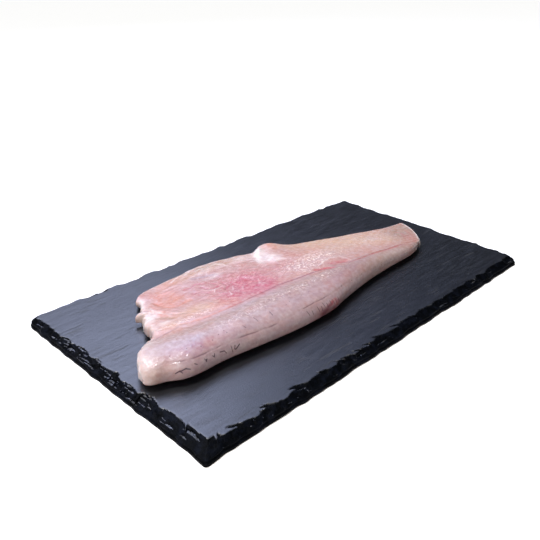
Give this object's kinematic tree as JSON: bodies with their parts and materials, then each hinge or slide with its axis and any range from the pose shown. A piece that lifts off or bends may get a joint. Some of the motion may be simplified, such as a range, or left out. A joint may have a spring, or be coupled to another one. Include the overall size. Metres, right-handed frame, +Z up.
{
  "type": "zander fillet on a slate board",
  "caption": "Raw skinless zander fillet with a thick loin, a thin belly flap and a cut tail, lying on a rectangular chipped-edge slate board.",
  "frame": {"origin": "middle of the slate board's underside, which is also the bottom of the whole", "axes": "+X along the board's long side, from the fillet's head end to its tail; +Y across, from the thick loin to the thin belly flap; +Z up"},
  "size_m": [0.35, 0.198, 0.026],
  "materials": {
    "riven_slate": "dark blue-grey riven slate, satin on top, with glossier black chipped edges",
    "raw_fish_flesh": "moist translucent raw fish, pink on the belly flap, greyish lilac on the loin, peach at the tail"
  },
  "bodies": {
    "root": {"slate_board": "riven_slate", "zander_fillet": "raw_fish_flesh"}
  },
  "joints": []
}
